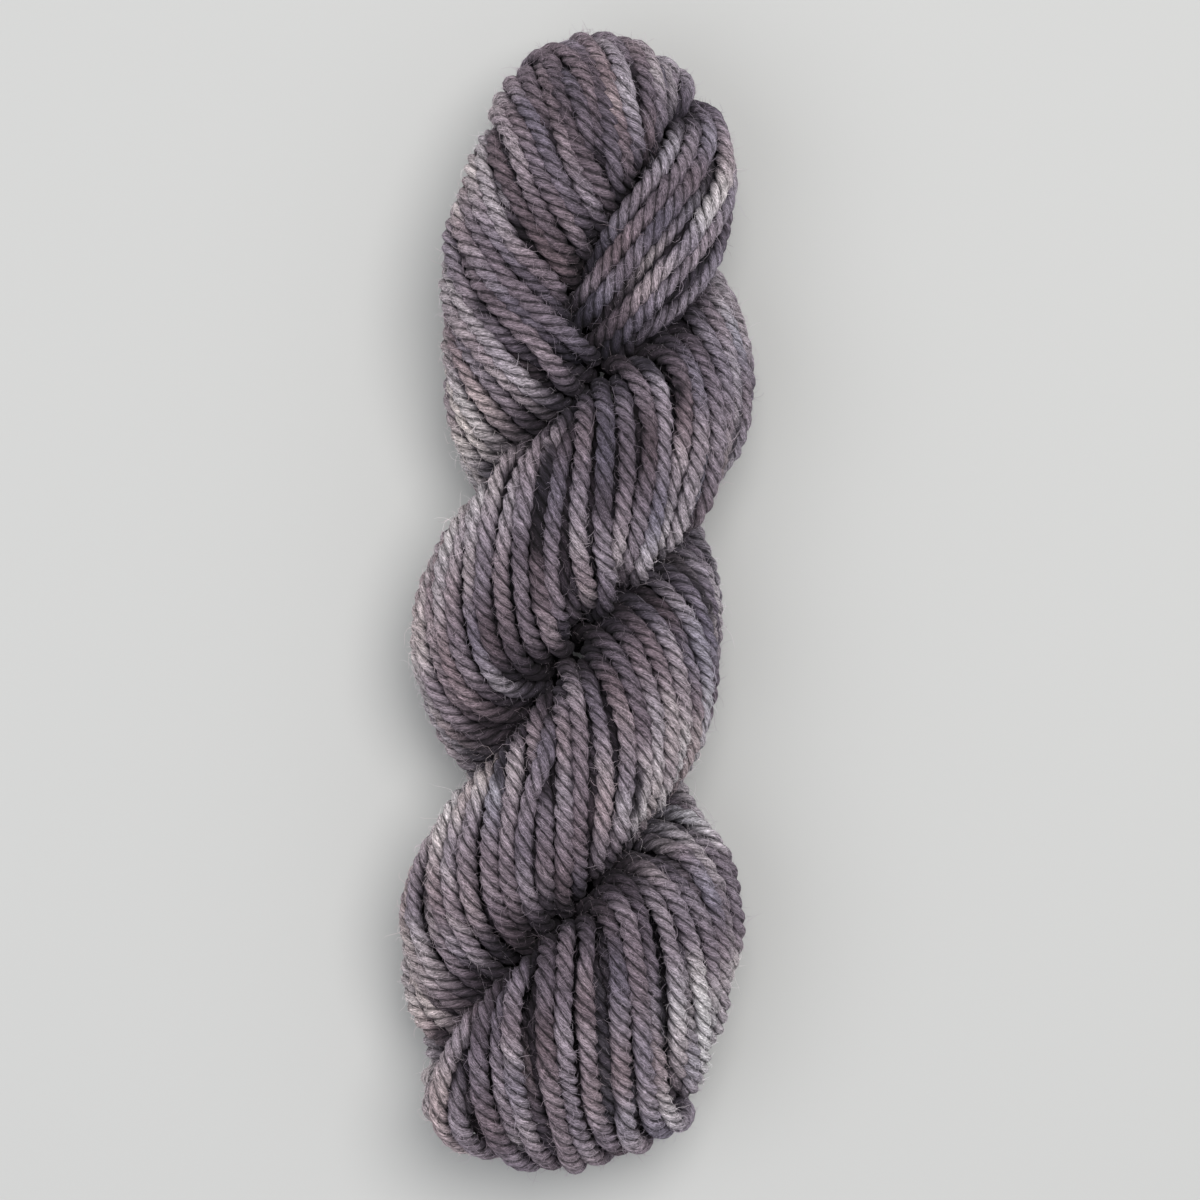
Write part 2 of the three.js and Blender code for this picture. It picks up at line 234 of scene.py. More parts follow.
def settle(path, U, V, starts, ends, grow=170, rest_for=130, g0=0.42):
    """Lays each length in a slim bundle, thickens yarn and bundles together until they
    press on each other, and lets them find their places."""
    yarn, idx, u, v = [], [], [], []
    for i in range(len(U)):
        k = np.arange(starts[i], ends[i])
        yarn.append(np.full(len(k), i))
        idx.append(k)
        u.append(U[i, k])
        v.append(V[i, k])
    yarn, idx, u, v = (np.concatenate(a) for a in (yarn, idx, u, v))
    M = len(yarn)
    free = path["s"][idx] > BURIED
    deep, inner, wide = path["deep"][idx], path["inner"][idx], path["wide"][idx]
    A, B, T, C = (path[k][idx] for k in "ABTC")
    half = YARN_R
    S = np.array([1, 1, SETTLE])
    lift = np.array([0, 0, CORE_Z])

    def place(g):
        dd = np.where(u > 0, deep, inner)
        return (C + (u * (dd - half) * g)[:, None] * A + (v * (wide - half) * g)[:, None] * B) * S + lift

    full, x = place(1.0), place(g0)
    nxt = np.where(yarn[1:] == yarn[:-1])[0]
    rest = np.linalg.norm(full[nxt + 1] - full[nxt], axis=1)
    mid = np.where(yarn[2:] == yarn[:-2])[0] + 1
    halves = [(nxt[nxt % 2 == p], rest[nxt % 2 == p]) for p in (0, 1)]
    pairs, xref, margin = None, None, 1.1

    def find_pairs(reach):
        q = np.floor((x - x.min(0)) / reach).astype(np.int64)
        n = q.max(0) + 3
        key = (q[:, 0] + 1) + (q[:, 1] + 1) * n[0] + (q[:, 2] + 1) * n[0] * n[1]
        order = np.argsort(key, kind="stable")
        ks = key[order]
        found = []
        for c in (0, 1):
            for b in (-1, 0, 1):
                for a in (-1, 0, 1):
                    if (c, b, a) < (0, 0, 0):
                        continue
                    dk = a + b * n[0] + c * n[0] * n[1]
                    lo = np.searchsorted(ks, ks + dk, "left")
                    cnt = np.searchsorted(ks, ks + dk, "right") - lo
                    total = cnt.sum()
                    if not total:
                        continue
                    ii = np.repeat(np.arange(M), cnt)
                    jj = np.repeat(lo, cnt) + np.arange(total) - np.repeat(np.cumsum(cnt) - cnt, cnt)
                    if dk == 0:
                        m = jj > ii
                        ii, jj = ii[m], jj[m]
                    p, r = order[ii], order[jj]
                    m = ((x[p] - x[r]) ** 2).sum(1) < reach * reach
                    p, r = p[m], r[m]
                    m = ((yarn[p] != yarn[r]) | (np.abs(p - r) > 7)) & (free[p] == free[r])
                    found.append(np.stack([p[m], r[m]], 1))
        return np.concatenate(found)

    for it in range(grow + rest_for):
        g = g0 + (1 - g0) * min(it / grow, 1)
        gn = g0 + (1 - g0) * min((it + 1) / grow, 1)
        if gn > g:
            rel = (x - lift) / S - C
            rel -= (rel * T).sum(1)[:, None] * T
            x = x + (gn / g - 1) * rel * S
        g = gn
        near = PRESSED * g
        if pairs is None or it % 6 == 0 or np.abs(x - xref).max() > margin * 0.5:
            pairs = find_pairs(near + margin)
            xref = x.copy()
        for _ in range(2):
            a, b = pairs[:, 0], pairs[:, 1]
            dv = x[b] - x[a]
            L = np.sqrt((dv ** 2).sum(1)) + 1e-9
            m = L < near
            a, b, dv, L = a[m], b[m], dv[m], L[m]
            c = dv * (0.5 * (near - L) / L)[:, None]
            dx = np.stack([np.bincount(b, c[:, j], M) - np.bincount(a, c[:, j], M) for j in range(3)], 1)
            touching = np.bincount(a, minlength=M) + np.bincount(b, minlength=M)
            x += dx * (1.3 / np.maximum(touching, 2.2))[:, None]
            for kk, rr in halves:
                dv = x[kk + 1] - x[kk]
                L = np.sqrt((dv ** 2).sum(1)) + 1e-9
                c = dv * (0.25 * (L - rr) / L)[:, None]
                x[kk] += c
                x[kk + 1] -= c
            lap = np.zeros_like(x)
            lap[mid] = 0.5 * (x[mid - 1] + x[mid + 1]) - x[mid]
            l2 = 0.5 * (lap[mid - 1] + lap[mid + 1]) - lap[mid]
            x[mid] += 0.03 * lap[mid] - 0.22 * l2
        rel = (x - lift) / S - C
        pu, pv = (rel * A).sum(1), (rel * B).sum(1)
        D = (np.where(pu > 0, deep, inner) - half) * g
        W = (wide - half) * g
        e = np.sqrt((pu / D) ** 2 + (pv / W) ** 2)
        k = np.where(e > 1, 0.5 * (1 / np.maximum(e, 1) - 1), 0)
        x += ((k * pu)[:, None] * A + (k * pv)[:, None] * B) * S
        x[:, 2] = np.maximum(x[:, 2], YARN_R)
    return x + SHIFT, yarn


rng = np.random.default_rng(7)
path = build_path()
U, V, starts, ends = lay_out(path, rng)
knots, yarn_of = settle(path, U, V, starts, ends)
print(f"settled {len(knots)} points in {time.time() - START:.1f} s")

# ------------------------------------------------ which lengths can be seen
lines = [gauss(knots[yarn_of == i], 0.7) for i in range(LENGTHS)]


def transport(P):
    """Middle line P's directions, and a frame carried along it without twist."""
    T = unit(np.gradient(P, axis=0))
    N = np.zeros_like(P)
    a = np.cross(T[0], [0.0, 0.0, 1.0])
    if np.linalg.norm(a) < 0.1:
        a = np.cross(T[0], [1.0, 0.0, 0.0])
    a /= np.linalg.norm(a)
    ax, ay, az = a
    for k, (tx, ty, tz) in enumerate(T.tolist()):
        d = ax * tx + ay * ty + az * tz
        ax, ay, az = ax - d * tx, ay - d * ty, az - d * tz
        m = 1 / math.sqrt(ax * ax + ay * ay + az * az)
        ax, ay, az = ax * m, ay * m, az * m
        N[k] = (ax, ay, az)
    return T, N, np.cross(T, N)


def blocker(radius=1.75, sides=6):
    verts, faces, base = [], [], 0
    ang = np.linspace(0, 2 * np.pi, sides, endpoint=False)
    for P in lines:
        T, N, Bn = transport(P)
        ring = (P[:, None, :] + radius * (np.cos(ang)[None, :, None] * N[:, None, :]
                                          + np.sin(ang)[None, :, None] * Bn[:, None, :]))
        verts.append(ring.reshape(-1, 3))
        for k in range(len(P) - 1):
            for j in range(sides):
                a, b = base + k * sides + j, base + k * sides + (j + 1) % sides
                faces.append((a, b, b + sides, a + sides))
        base += len(P) * sides
    return BVHTree.FromPolygons(np.concatenate(verts).tolist(), faces)


tree = blocker()
looks = unit(rng.standard_normal((56, 3)))
looks = [(Vector(d), d[2] > -0.1) for d in looks.tolist()]
FINE, MIDDLING, PLAIN = 0.86, 1.25, 1.8     # ring spacings: in full view, between others, below
seen_runs = []
rings_needed = 0.0
for i, P in enumerate(lines):
    above, below = np.zeros(len(P)), np.zeros(len(P))
    for k, here in enumerate(P.tolist()):
        p = Vector(here)
        for d, upward in looks:
            if tree.ray_cast(p + d * 1.95, d, 400.0)[0] is None:
                if upward:
                    above[k] += 1
                    if above[k] > 2:
                        break
                else:
                    below[k] += 1
    near = np.ones(5)
    spacing = np.where(np.convolve(above > 2, near, "same") > 0.5, FINE,
                       np.where(np.convolve(above > 0, near, "same") > 0.5, MIDDLING,
                                np.where(np.convolve(below > 0, near, "same") > 0.5, PLAIN, 0.0)))
    long = np.linalg.norm(np.gradient(P, axis=0), axis=1)
    k = 0
    while k < len(P):
        if spacing[k] > 0:
            e = k
            while e < len(P) and spacing[e] > 0:
                e += 1
            if e - k > 4:
                seen_runs.append((i, k, e, long[k:e] / spacing[k:e]))
                rings_needed += seen_runs[-1][3].sum()
            k = e
        else:
            k += 1
print(f"{len(seen_runs)} runs of yarn in sight, {rings_needed:.0f} rings; {time.time() - START:.1f} s")

# ------------------------------------------------------------ plied yarn
RINGS_ALLOWED = 19400
thin = min(1.0, RINGS_ALLOWED / rings_needed)
PLY_OUT, PLY_R = 0.94, 1.18
PLY_EDGE = math.pi / 3 + math.asin(PLY_OUT * math.sin(math.pi / 3) / PLY_R)

PALETTE = np.array([        # dark plum, plum grey, mauve grey, lavender taupe, pale taupe
    (0.071, 0.055, 0.069),
    (0.129, 0.103, 0.126),
    (0.200, 0.166, 0.193),
    (0.297, 0.260, 0.281),
    (0.420, 0.386, 0.391)])

# the dye took in soft clouds right through the hank
CLOUD = 17.0
cloud = rng.standard_normal((14, 24, 10))


def clouds(P):
    q = (P + np.array([90.0, 180.0, 20.0])) / CLOUD
    i = np.clip(np.floor(q).astype(int), 0, np.array(cloud.shape) - 2)
    f = q - i
    f = f * f * (3 - 2 * f)
    total = np.zeros(len(P))
    for a in (0, 1):
        for b in (0, 1):
            for c in (0, 1):
                w = (np.where(a, f[:, 0], 1 - f[:, 0]) * np.where(b, f[:, 1], 1 - f[:, 1])
                     * np.where(c, f[:, 2], 1 - f[:, 2]))
                total += w * cloud[i[:, 0] + a, i[:, 1] + b, i[:, 2] + c]
    return total


# soft patches where the tone is raised or lowered, partly the dye's own unevenness and partly painted shade below the
# creases and painted light at the edges: x, y, half width, change
PATCHES = np.array([(11, 110, 7, 0.42), (22, 109, 6, -0.30), (-3, 106, 10, -0.36), (13, 84, 13, -0.42),
                    (-26, 90, 7, 0.18), (-7, 77, 7, -0.26), (-13, 58, 8, -0.26), (28, 48, 11, -0.42),
                    (5, 32, 8, -0.36), (-14, 41, 9, 0.22), (-30, 29, 8, 0.60), (3, 21, 7, -0.26),
                    (-14, 12, 9, -0.34), (-22, -6, 9, -0.50), (-6, 6, 8, -0.12), (11, 8, 8, 0.26),
                    (7, -11, 10, -0.30), (-27, -42, 10, 0.42), (24, -41, 9, 0.24), (-7, -51, 10, -0.42),
                    (-37, -64, 6, -0.30), (28, -68, 10, -0.42), (-4, -80, 8, -0.40), (18, -84, 10, 0.28),
                    (-17, -94, 9, -0.38), (12, -50, 7, 0.24)])


def patches(P):
    d2 = (P[:, None, 0] - PATCHES[:, 0]) ** 2 + (P[:, None, 1] - PATCHES[:, 1]) ** 2
    return (PATCHES[:, 3] * np.exp(-0.5 * d2 / PATCHES[:, 2] ** 2)).sum(1)


def dye_painted_light_and_shade(rng, P):
    """Hand-dyed tone along a length: soft changes, some lengths lighter throughout, painted light toward both sides of
    the hank, and the patches' painted shade and light.
    """
    n = len(P)
    # painted light: the last term makes the tone lighter toward both sides of the hank
    tone = (0.465 + 0.14 * wander(rng, n, 26.0) + 0.08 * wander(rng, n, 7.0) + 0.10 * clouds(P) + patches(P)
            + 0.07 * rng.standard_normal() + 0.30 * (P[:, 0] / 34.0) ** 2)
    warm = 0.36 * wander(rng, n, 12.0) + 0.12 * rng.standard_normal() - P[:, 0] / 100.0
    tone = np.where(tone > 0.75, 0.75 + 0.22 * np.tanh((tone - 0.75) / 0.22), tone)
    return np.clip(tone, 0.0, 1.0), np.clip(warm, -1, 1)


def dye_colour(tone, warm):
    t = np.clip(tone, 0, 0.999) * (len(PALETTE) - 1)
    i = t.astype(int)
    f = (t - i)[:, None]
    c = PALETTE[i] * (1 - f) + PALETTE[i + 1] * f
    warm = warm * (1.15 - 0.5 * tone)           # the palest wool took least of either colour
    tint = np.stack([1 + 0.095 * warm, 1 + 0.005 * warm, 1 - 0.070 * warm], 1)
    return c * tint


class Pile:
    """Vertices, faces and their values, gathered into one mesh."""

    def __init__(self):
        self.v, self.f3, self.f4, self.colour, self.grain, self.cav, self.count = [], [], [], [], [], [], 0

    def triangles(self):
        return sum(len(a) for a in self.f3) + 2 * sum(len(a) for a in self.f4)

    def add(self, v, f3, f4, colour, grain, cav):
        if len(f3):
            self.f3.append(f3 + self.count)
        if len(f4):
            self.f4.append(f4 + self.count)
        self.v.append(v)
        self.colour.append(colour)
        self.grain.append(grain)
        self.cav.append(cav)
        self.count += len(v)

    def mesh(self, name, material):
        v = np.concatenate(self.v) / 1000.0
        f3 = np.concatenate(self.f3) if self.f3 else np.zeros((0, 3), int)
        f4 = np.concatenate(self.f4) if self.f4 else np.zeros((0, 4), int)
        me = bpy.data.meshes.new(name)
        me.vertices.add(len(v))
        me.vertices.foreach_set("co", v.astype(np.float32).ravel())
        loops = np.concatenate([f4.ravel(), f3.ravel()]).astype(np.int32)
        me.loops.add(len(loops))
        me.loops.foreach_set("vertex_index", loops)
        starts = np.concatenate([np.arange(len(f4)) * 4, 4 * len(f4) + np.arange(len(f3)) * 3])
        me.polygons.add(len(f4) + len(f3))
        me.polygons.foreach_set("loop_start", starts.astype(np.int32))
        me.polygons.foreach_set("use_smooth", np.ones(len(starts), bool))
        me.update(calc_edges=True)
        low = np.concatenate(self.cav) < 1e-6
        e = np.zeros(2 * len(me.edges), np.int32)
        me.edges.foreach_get("vertices", e)
        sharp = low[e].reshape(-1, 2).all(1)
        if sharp.any():
            a = me.attributes.new("sharp_edge", "BOOLEAN", "EDGE")
            a.data.foreach_set("value", sharp)
        # this colour is the dye with the painted shade and painted light already in it
        a = me.attributes.new("dye_painted_light_and_shade", "FLOAT_COLOR", "POINT")
        c = np.concatenate(self.colour)
        a.data.foreach_set("color", np.concatenate([c, np.ones((len(c), 1))], 1).astype(np.float32).ravel())
        a = me.attributes.new("grain", "FLOAT_VECTOR", "POINT")
        a.data.foreach_set("vector", np.concatenate(self.grain).astype(np.float32).ravel())
        a = me.attributes.new("painted_crease_shade_mask", "FLOAT", "POINT")
        a.data.foreach_set("value", np.concatenate(self.cav).astype(np.float32))
        me.validate()
        ob = bpy.data.objects.new(name, me)
        bpy.context.scene.collection.objects.link(ob)
        me.materials.append(material)
        return ob


def resample(P, rings):
    """Points along P, as many round each of its own as rings says."""
    d = np.r_[0, np.cumsum(0.5 * (rings[1:] + rings[:-1]))]
    n = max(5, int(round(d[-1])))
    t = np.interp(np.linspace(0, d[-1], n + 1), d, np.arange(len(P)))
    return np.stack([smooth(P[:, j], t) for j in range(3)], 1), t


ts = PLY_EDGE * np.arange(-2, 4) / 3.0
section = []
for j in range(3):
    for t in ts:
        px, py = PLY_OUT + PLY_R * math.cos(t), PLY_R * math.sin(t)
        section.append((math.hypot(px, py), math.atan2(py, px) + j * 2 * math.pi / 3, abs(t) / PLY_EDGE, j))
sec_r, sec_a, sec_t, sec_ply = (np.array(c) for c in zip(*section))
SEC = len(sec_r)

# each whole length's own values, so that a run cut from it keeps them
whole = []
lengths = [np.r_[0, np.cumsum(np.linalg.norm(np.diff(P, axis=0), axis=1))] for P in lines]
for i, P in enumerate(lines):
    n = int(lengths[i][-1]) + 8
    tone, warm = dye_painted_light_and_shade(rng, np.stack([np.interp(np.arange(n), lengths[i], P[:, j]) for j in range(3)], 1))
    whole.append(dict(tone=tone, warm=warm, thick=1 + 0.045 * wander(rng, n, 11.0),
                      ply=[1 + 0.075 * wander(rng, n, 7.0) for _ in range(3)],
                      sway=[0.12 * wander(rng, n, 9.0) + 0.30 * wander(rng, n, 26.0) for _ in range(2)], slip=0.45 * wander(rng, n, 9.0),
                      ply_tone=rng.normal(0, 0.045, 3), turn=rng.uniform(0, 6.28),
                      pitch=PLY_TURN * (1 + 0.04 * rng.standard_normal())))

roots = []          # places a loose fibre can spring from
AROUND = 6
DARKEST_PAINTED_SHADE, OPEN = 0.11, 0.75     # how dark the painted shade is in the deepest places, and what counts as fully open
k = np.arange(11)
up = np.sqrt(1 - (k + 0.5) / 11)
HALF_BALL = np.stack([np.sqrt(1 - up ** 2) * np.cos(2.399963 * k), np.sqrt(1 - up ** 2) * np.sin(2.399963 * k), up], 1)


def openness(P, T, N, Bn):
    """How much of the space before each side of a run is clear of other yarn; the painted shade is made from it."""
    m = np.unique(np.r_[np.arange(0, len(P), 3), len(P) - 1])
    a = 2 * np.pi * np.arange(AROUND) / AROUND
    out = np.cos(a)[None, :, None] * N[m][:, None, :] + np.sin(a)[None, :, None] * Bn[m][:, None, :]
    side = np.cross(T[m][:, None, :], out)
    start = P[m][:, None, :] + out * (YARN_R + 0.05)
    d = (HALF_BALL[None, None, :, 0, None] * T[m][:, None, None, :] + HALF_BALL[None, None, :, 1, None] * side[:, :, None, :]
         + HALF_BALL[None, None, :, 2, None] * out[:, :, None, :])
    clear = np.zeros(d.shape[:3])
    cast = tree.ray_cast
    for x, dx, row in zip(start.reshape(-1, 3).tolist(), d.reshape(-1, len(HALF_BALL), 3).tolist(),
                          clear.reshape(-1, len(HALF_BALL))):
        x = Vector(x)
        for n, v in enumerate(dx):
            if cast(x, v, 30.0)[0] is None:
                row[n] = 1.0
    got = clear.mean(2)
    t = np.interp(np.arange(len(P)), m, np.arange(len(m)))
    lo = np.clip(t.astype(int), 0, len(m) - 2)
    f = (t - lo)[:, None]
    return got[lo] * (1 - f) + got[lo + 1] * f


def ply_run(i, k0, k1, rings):
    P, t = resample(lines[i][k0:k1], gauss(rings, 1.0) * thin)
    n = len(P)
    T, N, Bn = transport(P)
    w = whole[i]
    d = np.interp(t + k0, np.arange(len(lines[i])), lengths[i])

    def along(a):
        return np.interp(d, np.arange(len(a)), a)

    P = P + along(w["sway"][0])[:, None] * N + along(w["sway"][1])[:, None] * Bn
    turn = w["turn"] - 2 * np.pi * d / w["pitch"] + along(w["slip"])
    ang = sec_a[None, :] + turn[:, None]
    loose = np.clip((-72.0 - P[:, 1]) / 22.0, 0, 1)         # nothing presses on the yarn at the fold
    rad = sec_r[None, :] * (along(w["thick"]) * (1 + 0.10 * loose))[:, None]
    plies = np.stack([along(p) for p in w["ply"]], 1)
    lobe = plies[:, sec_ply]
    rad = rad * (1 + (lobe - 1) * (1 - sec_t ** 2)[None, :])
    end = np.minimum(1, np.minimum(np.arange(n), np.arange(n)[::-1]) / 1.5 + 0.55)
    rad = rad * end[:, None]
    cx, cy = np.cos(ang) * rad, np.sin(ang) * rad
    v = P[:, None, :] + cx[..., None] * N[:, None, :] + cy[..., None] * Bn[:, None, :]
    v[..., 2] = np.maximum(v[..., 2], 0.03)         # pressed flat where it lies on the table
    tone, warm = along(w["tone"]), along(w["warm"])
    tn = np.clip(tone[:, None] + w["ply_tone"][sec_ply][None, :], 0, 1).ravel()
    bare = dye_colour(tn, np.repeat(warm, SEC))
    side = clear = openness(P, T, N, Bn)
    at = (ang / (2 * np.pi) * AROUND) % AROUND
    lo = at.astype(int) % AROUND
    row = np.arange(n)[:, None]
    clear = clear[row, lo] * (1 - (at - lo)) + clear[row, (lo + 1) % AROUND] * (at - lo)
    # painted shade: the colour is darkened where other yarn closes a side in, in the gaps between lengths and more in
    # the creases between bundles; the deepest painted shade turns bluer
    deepness = gauss(side.max(1), 2.0)[:, None]
    clear = np.clip(clear / OPEN, 0, 1) ** 1.05 * np.clip(deepness / 0.92, 0, 1) ** 3.6
    painted_shade = (DARKEST_PAINTED_SHADE + (1 - DARKEST_PAINTED_SHADE) * clear).ravel()
    colour = bare * painted_shade[:, None] ** np.array([0.98, 1.0, 0.94])
    # the wool's fibres run along each ply, so the grain turns with the plies
    ones = np.ones((n, 1))
    grain = np.stack([ones * (sec_r * np.cos(sec_a)) + 17.3 * i, ones * (sec_r * np.sin(sec_a)) + 9.1 * i,
                      np.repeat(d[:, None], SEC, 1)], 2)
    # painted shade along the creases between plies: 1 on a ply's back, 0 in the crease; the same marks the sharp edges
    # in the crease
    cav = np.repeat((1 - np.clip(sec_t, 0, 1) ** 3.8)[None, :], n, 0)
    k = np.arange(n - 1)[:, None] * SEC
    j = np.arange(SEC)[None, :]
    j2 = (j + 1) % SEC
    f4 = np.stack([k + j, k + j2, k + SEC + j2, k + SEC + j], 2).reshape(-1, 4)
    caps = np.stack([P[0], P[-1]])
    c0, c1 = n * SEC, n * SEC + 1
    f3 = np.concatenate([np.stack([np.full(SEC, c0), j2[0], j[0]], 1),
                         np.stack([np.full(SEC, c1), (n - 1) * SEC + j[0], (n - 1) * SEC + j2[0]], 1)])
    v = np.concatenate([v.reshape(-1, 3), caps])
    colour = np.concatenate([colour, colour[[0, -1]]])
    grain = np.concatenate([grain.reshape(-1, 3), grain[[0, -1], 0]])
    cav = np.concatenate([cav.ravel(), [0, 0]])
    # a fibre springs from a ply's back, away from the run's ends
    m = np.arange(4, n - 4)
    if len(m):
        tops = np.array([jj for jj in range(SEC) if sec_t[jj] < 0.4])
        kk = np.repeat(m, len(tops))
        jj = np.tile(tops, len(m))
        flat = kk * SEC + jj
        out = unit(np.cos(ang[kk, jj])[:, None] * N[kk] + np.sin(ang[kk, jj])[:, None] * Bn[kk])
        # the fibre's colour keeps part of the painted shade of the yarn under it
        roots.append(np.concatenate([v[flat], out, T[kk], bare[flat] * (0.45 + 0.55 * painted_shade[flat])[:, None],
                                     clear.ravel()[flat][:, None]], 1))
    return v, f3, f4, colour, grain, cav


# ----------------------------------------------------------- materials
def node(nt, kind, **inputs):
    n = nt.nodes.new(kind)
    for k, val in inputs.items():
        n.inputs[k].default_value = val
    return n


def wool(name, bump, sheen, gain):
    m = bpy.data.materials.new(name)
    m.use_nodes = True
    nt = m.node_tree
    bsdf = nt.nodes["Principled BSDF"]
    link = nt.links.new
    bsdf.inputs["Roughness"].default_value = 0.88
    bsdf.inputs["Specular IOR Level"].default_value = 0.25
    bsdf.inputs["Sheen Weight"].default_value = sheen
    bsdf.inputs["Sheen Roughness"].default_value = 0.45
    bsdf.inputs["Sheen Tint"].default_value = (0.85, 0.80, 0.84, 1)
    # the mesh's colour, with the painted shade and painted light already in it
    col = nt.nodes.new("ShaderNodeAttribute")
    col.attribute_name = "dye_painted_light_and_shade"
    if not bump:
        mul = nt.nodes.new("ShaderNodeVectorMath")
        mul.operation = "SCALE"
        mul.inputs["Scale"].default_value = gain
        link(col.outputs["Color"], mul.inputs[0])
        link(mul.outputs["Vector"], bsdf.inputs["Base Color"])
        return m
    grain = nt.nodes.new("ShaderNodeAttribute")
    grain.attribute_name = "grain"
    stretch = nt.nodes.new("ShaderNodeMapping")
    stretch.inputs["Scale"].default_value = (1.0, 1.0, 0.38)
    link(grain.outputs["Vector"], stretch.inputs["Vector"])
    fine = nt.nodes.new("ShaderNodeTexNoise")
    fine.inputs["Scale"].default_value = 2.1
    fine.inputs["Detail"].default_value = 4.0
    fine.inputs["Roughness"].default_value = 0.72
    link(stretch.outputs["Vector"], fine.inputs["Vector"])
    hair = nt.nodes.new("ShaderNodeTexNoise")
    hair.inputs["Scale"].default_value = 4.4
    hair.inputs["Detail"].default_value = 3.0
    hair.inputs["Roughness"].default_value = 0.7
    hair.inputs["Distortion"].default_value = 0.9
    link(stretch.outputs["Vector"], hair.inputs["Vector"])
    coarse = nt.nodes.new("ShaderNodeTexNoise")
    coarse.inputs["Scale"].default_value = 0.85
    coarse.inputs["Detail"].default_value = 2.0
    link(stretch.outputs["Vector"], coarse.inputs["Vector"])
    ramp = nt.nodes.new("ShaderNodeMapRange")
    ramp.inputs["From Min"].default_value = 0.34
    ramp.inputs["From Max"].default_value = 0.68
    ramp.inputs["To Min"].default_value = 0.44
    ramp.inputs["To Max"].default_value = 1.68
    link(fine.outputs["Fac"], ramp.inputs["Value"])
    ramp2 = nt.nodes.new("ShaderNodeMapRange")
    ramp2.inputs["From Min"].default_value = 0.3
    ramp2.inputs["From Max"].default_value = 0.7
    ramp2.inputs["To Min"].default_value = 0.78 * gain
    ramp2.inputs["To Max"].default_value = 1.22 * gain
    link(coarse.outputs["Fac"], ramp2.inputs["Value"])
    ramp3 = nt.nodes.new("ShaderNodeMapRange")
    ramp3.inputs["From Min"].default_value = 0.32
    ramp3.inputs["From Max"].default_value = 0.70
    ramp3.inputs["To Min"].default_value = 0.15
    ramp3.inputs["To Max"].default_value = 2.32
    link(hair.outputs["Fac"], ramp3.inputs["Value"])
    fleck = nt.nodes.new("ShaderNodeMath")
    fleck.operation = "MULTIPLY"
    link(ramp.outputs["Result"], fleck.inputs[0])
    link(ramp3.outputs["Result"], fleck.inputs[1])
    # painted shade: the colour is darkened down to 0.15 in the creases between plies
    painted_crease_shade_mask = nt.nodes.new("ShaderNodeAttribute")
    painted_crease_shade_mask.attribute_name = "painted_crease_shade_mask"
    painted_crease_shade = nt.nodes.new("ShaderNodeMapRange")
    painted_crease_shade.inputs["To Min"].default_value = 0.15
    painted_crease_shade.inputs["To Max"].default_value = 1.0
    fray = nt.nodes.new("ShaderNodeMath")      # fibres lie across the creases here and there, breaking up the painted crease shade
    fray.operation = "MULTIPLY_ADD"
    fray.inputs[1].default_value = 1.1
    fray.inputs[2].default_value = -0.45
    link(fine.outputs["Fac"], fray.inputs[0])
    edge = nt.nodes.new("ShaderNodeMath")
    edge.operation = "ADD"
    link(painted_crease_shade_mask.outputs["Fac"], edge.inputs[0])
    link(fray.outputs["Value"], edge.inputs[1])
    link(edge.outputs["Value"], painted_crease_shade.inputs["Value"])
    a = nt.nodes.new("ShaderNodeMath")
    a.operation = "MULTIPLY"
    link(fleck.outputs["Value"], a.inputs[0])
    link(ramp2.outputs["Result"], a.inputs[1])
    b = nt.nodes.new("ShaderNodeMath")
    b.operation = "MULTIPLY"
    link(a.outputs["Value"], b.inputs[0])
    link(painted_crease_shade.outputs["Result"], b.inputs[1])
    mul = nt.nodes.new("ShaderNodeVectorMath")
    mul.operation = "SCALE"
    link(col.outputs["Color"], mul.inputs[0])
    link(b.outputs["Value"], mul.inputs["Scale"])
    link(mul.outputs["Vector"], bsdf.inputs["Base Color"])
    bmp = nt.nodes.new("ShaderNodeBump")
    bmp.inputs["Strength"].default_value = 0.8
    bmp.inputs["Distance"].default_value = 0.0003
    link(fine.outputs["Fac"], bmp.inputs["Height"])
    link(bmp.outputs["Normal"], bsdf.inputs["Normal"])
    return m


wool_mat = wool("wool", True, 0.03, 1.03)
fuzz_mat = wool("wool_fibre", False, 0.3, 2.9)

# ---------------------------------------------------------- build pieces
LIMIT = 190000
pieces, pile, letters = [], Pile(), iter("abcdefghij")
for run in seen_runs:
    made = ply_run(*run)
    if pile.triangles() + len(made[1]) + 2 * len(made[2]) > LIMIT:
        pieces.append(pile.mesh(f"yarn_{next(letters)}", wool_mat))
        pile = Pile()
    pile.add(*made)
pieces.append(pile.mesh(f"yarn_{next(letters)}", wool_mat))
count = sum(sum(len(p.vertices) - 2 for p in o.data.polygons) for o in pieces)
print(f"{len(pieces)} yarn pieces, {count} triangles; {time.time() - START:.1f} s")

# ----------------------------------------------------------------- fuzz
roots = np.concatenate(roots)


